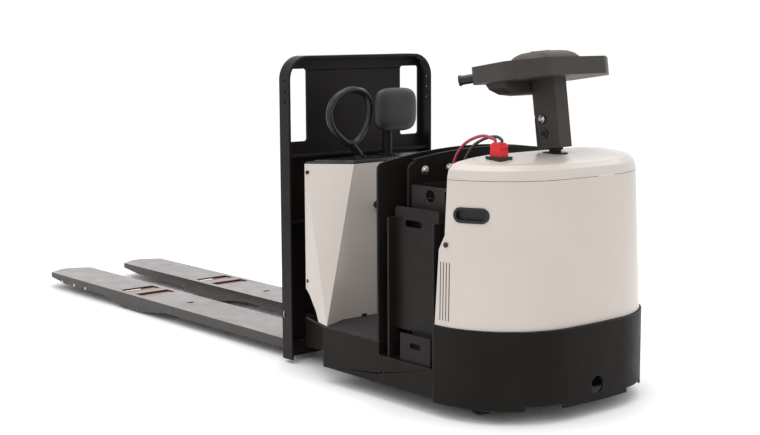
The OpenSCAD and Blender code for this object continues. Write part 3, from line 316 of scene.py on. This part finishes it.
# The CAD parts: broken edges, smooth shading and their finishes
edgeBreak = {"width": 0.0012, "segments": 2, "softSegments": 4, "angle": 28, "weld": 0.00001,
             "flatWeight": 80}
# Softer bends for pressed sheet and mouldings
softEdges = {"tower_panel": 0.016, "tower_cover": 0.006, "head_guard": 0.006, "head_pod": 0.006,
             "hood_lid": 0.002, "column": 0.003, "brake_pedal": 0.004}


def dressPart(node):
    piece = nodes[node]
    piece.data.materials.clear()
    piece.data.materials.append(finishes[slotOf[node]])
    piece.data.polygons.foreach_set("use_smooth", [True] * len(piece.data.polygons))
    weld = piece.modifiers.new("weld", "WELD")
    weld.merge_threshold = edgeBreak["weld"]
    soften = piece.modifiers.new("soften", "BEVEL")
    soften.width = softEdges.get(node, edgeBreak["width"])
    soften.segments = edgeBreak["softSegments" if node in softEdges else "segments"]
    soften.limit_method = "ANGLE"
    soften.angle_limit = math.radians(edgeBreak["angle"])
    normals = piece.modifiers.new("normals", "WEIGHTED_NORMAL")
    normals.keep_sharp = False
    normals.weight = edgeBreak["flatWeight"]


for node in nodes:
    dressPart(node)
print("CAD parts dressed:", len(nodes))

bodyOf = {node: body for body, group in frame["record"]["behaviour"]["bodies"].items() for node in group}


def placePiece(name, mesh, node, finish=None):
    # Puts a new mesh, made in the row frame, on the body of one CAD part
    piece = bpy.data.objects.new(name, mesh)
    bpy.context.scene.collection.objects.link(piece)
    piece.data.materials.append(finishes[finish or slotOf[node]])
    piece.data.polygons.foreach_set("use_smooth", [True] * len(piece.data.polygons))
    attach(piece, bodyOf[node])
    return piece


# Padded back cushion: rings run from the flat back, round the side and over the crowned face
cushion = {"rings": 14, "around": 72, "corner": 0.5, "pull": 0.0096, "round": 0.42, "piping": 0.0032,
           "depth": 0.94, "crown": 0.20, "fill": 0.9}


def cushionRow(setup, middle, half, depth, out):
    # One ring at a depth from -1 to 1, spread out from 0 at the middle to 1 at the rim
    spread = out ** setup["round"]
    flat = depth if depth < 0 else depth * (1 - setup["crown"] * spread ** 3)
    x = middle.x + half.x * setup["depth"] * flat
    row = []
    for k in range(setup["around"]):
        angle = 2 * math.pi * k / setup["around"]
        c, s = math.cos(angle), math.sin(angle)
        sag = spread * (1 - setup["pull"] * abs(2 * c * s))
        y = middle.y + (half.y - setup["piping"]) * math.copysign(abs(c) ** setup["corner"], c) * sag
        z = middle.z + (half.z - setup["piping"]) * math.copysign(abs(s) ** setup["corner"], s) * sag
        row.append((x, y, z))
    return row


def makeCushion(setup):
    low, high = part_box("back_pad")
    middle, half = (low + high) / 2, (high - low) / 2
    bm = bmesh.new()
    rows = []
    for i in range(1, setup["rings"]):
        turn = math.pi * i / setup["rings"]
        row = cushionRow(setup, middle, half, -math.cos(turn), math.sin(turn))
        rows.append([bm.verts.new(p) for p in row])
    reach = Vector((half.x * setup["depth"], 0, 0))
    first, last = bm.verts.new(middle - reach), bm.verts.new(middle + reach)
    around = setup["around"]
    for k in range(around):
        j = (k + 1) % around
        for a, b in zip(rows, rows[1:]):
            bm.faces.new((a[k], a[j], b[j], b[k]))
        bm.faces.new((first, rows[0][j], rows[0][k]))
        bm.faces.new((last, rows[-1][k], rows[-1][j]))
    bmesh.ops.recalc_face_normals(bm, faces=bm.faces)
    mesh = bpy.data.meshes.new("back_cushion")
    bm.to_mesh(mesh)
    bm.free()
    piece = placePiece("back_cushion", mesh, "back_pad")
    smooth = piece.modifiers.new("smooth", "SUBSURF")
    smooth.levels = smooth.render_levels = 1
    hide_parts("back_pad")


makeCushion(cushion)
print("cushion made")

# Screw and bolt heads, set on the surface that a ray from outside meets
headShape = {"points": 24, "corner": 0.16, "dish": 0.3, "dishFoot": 0.8, "dishDepth": 0.72, "foot": 0.25,
             "washer": 1.7, "washerEdge": 0.18, "washerTop": 0.97}
headLooks = {
    "screw": {"radius": 0.008, "height": 0.003, "finish": "trim_black"},
    "bush": {"radius": 0.0155, "height": 0.0085, "finish": "bronze", "washer": True},
    "stop": {"radius": 0.009, "height": 0.008, "sides": 6, "washer": True},
    "plate": {"radius": 0.010, "height": 0.008, "sides": 6, "washer": True},
    "belly": {"radius": 0.009, "height": 0.003, "sides": 6},
    "gusset": {"radius": 0.011, "height": 0.009, "sides": 6, "washer": True},
}
headSpots = {
    "outside": 0.9,
    "near": 0.3,
    "panel": ((-0.826, 0.795), (-0.822, 0.362)),
    "front": (-0.11, 0.11),
    "bush": (0.117, 0.983),
    "stop": (0.108, 1.034),
    "plate": (-0.30, -0.18, 0.18, 0.30),
    "belly": (-3.03, -2.90, -2.78),
    "gusset": (-0.37, -0.2, 0.2, 0.37),
}


def headRing(bm, radius, up, sides):
    # Points at even turns on a polygon that is round when it has as many sides as points
    points = headShape["points"]
    ring = []
    for k in range(points):
        turn = 2 * math.pi * k / points
        reach = radius * math.cos(math.pi / sides) / math.cos(turn % (2 * math.pi / sides) - math.pi / sides)
        ring.append(bm.verts.new((reach * math.cos(turn), reach * math.sin(turn), up)))
    return ring


def headMesh(name, look):
    # Washer under a head with a broken upper edge and a dish; six sides for a bolt
    shape, points = headShape, headShape["points"]
    radius, height, sides = look["radius"], look["height"], look.get("sides", points)
    lip = radius * shape["corner"]
    dish = radius * shape["dish"]
    outline = [(radius, height * shape["foot"], sides), (radius, height - lip, sides),
               (radius - lip, height, sides), (dish, height, sides),
               (dish * shape["dishFoot"], height * shape["dishDepth"], sides)]
    if look.get("washer"):
        wide = radius * shape["washer"]
        outline = [(wide, 0, points), (wide, height * shape["washerEdge"], points),
                   (wide * shape["washerTop"], height * shape["foot"], points)] + outline
    bm = bmesh.new()
    rings = [headRing(bm, around, up, count) for around, up, count in outline]
    for low, high in zip(rings, rings[1:]):
        for k in range(points):
            j = (k + 1) % points
            bm.faces.new((low[k], low[j], high[j], high[k]))
    bm.faces.new(rings[-1])
    mesh = bpy.data.meshes.new(name)
    bm.to_mesh(mesh)
    bm.free()
    return mesh


def setHead(name, node, start, aim, look):
    body = nodes[node]
    turn = body.matrix_world.inverted()
    hit, spot, normal, _ = body.ray_cast(turn @ start, (turn.to_3x3() @ Vector(aim)).normalized())
    if not hit:
        print("no surface for", name)
        return
    spot = body.matrix_world @ spot
    normal = (body.matrix_world.to_3x3() @ normal).normalized()
    mesh = headMesh(name, look)
    mesh.transform(Matrix.Translation(spot) @ normal.to_track_quat("Z", "Y").to_matrix().to_4x4())
    placePiece(name, mesh, node, look.get("finish", "bare_steel"))


def setHeads():
    spots = headSpots
    for side, far in ((-1, ""), (1, "_far")):
        aim = (0, -side, 0)
        for i, (x, z) in enumerate(spots["panel"]):
            setHead("panel_screw%s_%d" % (far, i), "tower_panel", at(x, side * spots["outside"], z), aim,
                    headLooks["screw"])
        for name, kind in (("tilt_bush", "bush"), ("stop_bolt", "stop")):
            x, z = spots[kind]
            setHead(name + far, "column", at(x, side * spots["near"], z), aim, headLooks[kind])
        fork = "left_fork" if side > 0 else "right_fork"
        for i, x in enumerate(spots["belly"]):
            setHead("belly_bolt_%d_%d" % (i, side), fork, at(x, side * spots["outside"], 0.045), aim,
                    headLooks["belly"])
    for name, node, kind, look, x, z in (("front_screw", "tower_panel", "front", "screw", -0.4, 0.795),
                                         ("stop_plate_bolt", "battery_stop", "plate", "plate", -0.1, 0.845),
                                         ("gusset_bolt", "backrest", "gusset", "gusset", -0.6, 0.2)):
        for i, y in enumerate(spots[kind]):
            setHead("%s_%d" % (name, i), node, at(x, y, z), (-1, 0, 0), headLooks[look])


setHeads()
print("screws and bolts set")


# Lugs at the lower ends of the battery cables
lugLook = {"length": 0.034, "width": 0.016, "thick": 0.003, "drop": 0.012, "edge": 0.0006,
           "steps": 12}


def cableLug(name, node, place):
    bm = bmesh.new()
    length, width, thick = lugLook["length"], lugLook["width"], lugLook["thick"]
    turns = [math.pi * k / lugLook["steps"] for k in range(lugLook["steps"] + 1)]
    rim = [(width / 2 * math.cos(a), length + width / 2 * math.sin(a)) for a in turns]
    rim += [(-width / 2, 0), (width / 2, 0)]
    low = [bm.verts.new((x, y, -thick / 2)) for x, y in rim]
    high = [bm.verts.new((x, y, thick / 2)) for x, y in rim]
    bm.faces.new(low[::-1])
    bm.faces.new(high)
    for k in range(len(rim)):
        j = (k + 1) % len(rim)
        bm.faces.new((low[k], low[j], high[j], high[k]))
    mesh = bpy.data.meshes.new(name)
    bm.to_mesh(mesh)
    bm.free()
    mesh.transform(Matrix.Translation(place) @ Matrix.Rotation(math.radians(90), 4, "X"))
    piece = placePiece(name, mesh, node, "bare_steel")
    edge = piece.modifiers.new("edge", "BEVEL")
    edge.width = lugLook["edge"]


def makeLugs():
    for node in ("cable_positive", "cable_negative"):
        cable = nodes[node]
        start = min((cable.matrix_world @ v.co for v in cable.data.vertices), key=lambda p: p.z)
        cableLug(node + "_lug", node, Vector((start.x, start.y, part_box(node)[0].z - lugLook["drop"])))


makeLugs()
print("cable lugs made")
